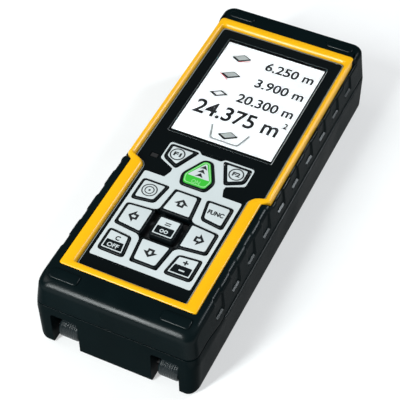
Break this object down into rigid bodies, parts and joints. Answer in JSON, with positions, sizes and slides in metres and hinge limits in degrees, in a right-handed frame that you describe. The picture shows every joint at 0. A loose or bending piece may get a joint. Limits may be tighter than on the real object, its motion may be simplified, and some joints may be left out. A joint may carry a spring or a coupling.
{
  "type": "laser distance meter",
  "caption": "Pocket laser distance meter with colour display, keypad, fold-out end bracket, battery door and tripod socket.",
  "frame": {"origin": "middle of the back face, on which the meter lies", "axes": "+X to the right across the display, +Y towards the end the laser leaves, +Z out of the display"},
  "size_m": [0.058, 0.1458, 0.03],
  "materials": {
    "overmould": "fine matt texture",
    "rear_plastic": "fine matt texture",
    "bezel_yellow": "satin",
    "panel_black": "gloss",
    "display_white": "smooth",
    "window_clear": "clear",
    "silver_print": "satin print",
    "key_black": "satin",
    "key_green": "satin",
    "silicone": "matt",
    "board_green": "solder mask",
    "chip_black": "matt",
    "steel": "bright",
    "brass": "turned",
    "cast_metal": "as cast",
    "cell_wrap": "printed sleeve",
    "bracket_plastic": "satin"
  },
  "bodies": {
    "case": {"front_shell": "overmould", "rear_shell": "rear_plastic", "tripod_insert": "brass", "case_screw_1": "steel", "case_screw_2": "steel", "case_screw_3": "steel", "case_screw_4": "steel", "bezel_frame": "bezel_yellow", "front_panel": "panel_black", "light_sensor": "chip_black", "display_window": "window_clear", "display_module": "display_white", "keypad_surround": "silver_print", "key_mat": "silicone", "dome_sheet": "steel", "main_board": "board_green", "buzzer": "chip_black", "tilt_sensor": "chip_black", "radio_module": "steel", "optics_chassis": "cast_metal", "laser_module": "brass", "camera_module": "chip_black", "receiver_lens": "window_clear", "receiver_board": "board_green", "lens_panel": "panel_black", "laser_window": "window_clear", "camera_window": "window_clear", "battery_tray": "rear_plastic", "cell_left": "cell_wrap", "cell_right": "cell_wrap", "contact_spring_left": "steel", "contact_spring_right": "steel", "contact_plate_left": "steel", "contact_plate_right": "steel", "bracket_pin": "steel"},
    "bracket": {"positioning_bracket": "bracket_plastic"},
    "door": {"battery_door": "rear_plastic", "door_seal": "silicone"},
    "latch": {"door_latch": "rear_plastic"},
    "key_soft_left": {"key_soft_left": "key_black"},
    "key_soft_right": {"key_soft_right": "key_black"},
    "key_on": {"key_on": "key_green"},
    "key_target": {"key_target": "key_black"},
    "key_function": {"key_function": "key_black"},
    "key_up": {"key_up": "key_black"},
    "key_left": {"key_left": "key_black"},
    "key_middle": {"key_middle": "key_black"},
    "key_right": {"key_right": "key_black"},
    "key_clear": {"key_clear": "key_black"},
    "key_down": {"key_down": "key_black"},
    "key_plus_minus": {"key_plus_minus": "key_black"}
  },
  "joints": [
    {"name": "key_soft_left_press", "type": "slide", "parent": "case", "child": "key_soft_left", "axis": [0, 0, -1], "range_m": [0, 0.0004], "stiffness_N_per_m": 1500},
    {"name": "key_soft_right_press", "type": "slide", "parent": "case", "child": "key_soft_right", "axis": [0, 0, -1], "range_m": [0, 0.0004], "stiffness_N_per_m": 1500},
    {"name": "key_on_press", "type": "slide", "parent": "case", "child": "key_on", "axis": [0, 0, -1], "range_m": [0, 0.0004], "stiffness_N_per_m": 1500},
    {"name": "key_target_press", "type": "slide", "parent": "case", "child": "key_target", "axis": [0, 0, -1], "range_m": [0, 0.0004], "stiffness_N_per_m": 1500},
    {"name": "key_function_press", "type": "slide", "parent": "case", "child": "key_function", "axis": [0, 0, -1], "range_m": [0, 0.0004], "stiffness_N_per_m": 1500},
    {"name": "key_up_press", "type": "slide", "parent": "case", "child": "key_up", "axis": [0, 0, -1], "range_m": [0, 0.0004], "stiffness_N_per_m": 1500},
    {"name": "key_left_press", "type": "slide", "parent": "case", "child": "key_left", "axis": [0, 0, -1], "range_m": [0, 0.0004], "stiffness_N_per_m": 1500},
    {"name": "key_middle_press", "type": "slide", "parent": "case", "child": "key_middle", "axis": [0, 0, -1], "range_m": [0, 0.0004], "stiffness_N_per_m": 1500},
    {"name": "key_right_press", "type": "slide", "parent": "case", "child": "key_right", "axis": [0, 0, -1], "range_m": [0, 0.0004], "stiffness_N_per_m": 1500},
    {"name": "key_clear_press", "type": "slide", "parent": "case", "child": "key_clear", "axis": [0, 0, -1], "range_m": [0, 0.0004], "stiffness_N_per_m": 1500},
    {"name": "key_down_press", "type": "slide", "parent": "case", "child": "key_down", "axis": [0, 0, -1], "range_m": [0, 0.0004], "stiffness_N_per_m": 1500},
    {"name": "key_plus_minus_press", "type": "slide", "parent": "case", "child": "key_plus_minus", "axis": [0, 0, -1], "range_m": [0, 0.0004], "stiffness_N_per_m": 1500},
    {"name": "bracket_fold", "type": "hinge", "parent": "case", "child": "bracket", "pos_m": [0, -0.06645, 0.0045], "axis": [-1, 0, 0], "range_deg": [0, 180]},
    {"name": "door_open", "type": "hinge", "parent": "case", "child": "door", "pos_m": [0, -0.04565, 0.00105], "axis": [-1, 0, 0], "range_deg": [0, 80]},
    {"name": "latch_slide", "type": "slide", "parent": "door", "child": "latch", "axis": [0, -1, 0], "range_m": [0, 0.0015], "stiffness_N_per_m": 300}
  ]
}
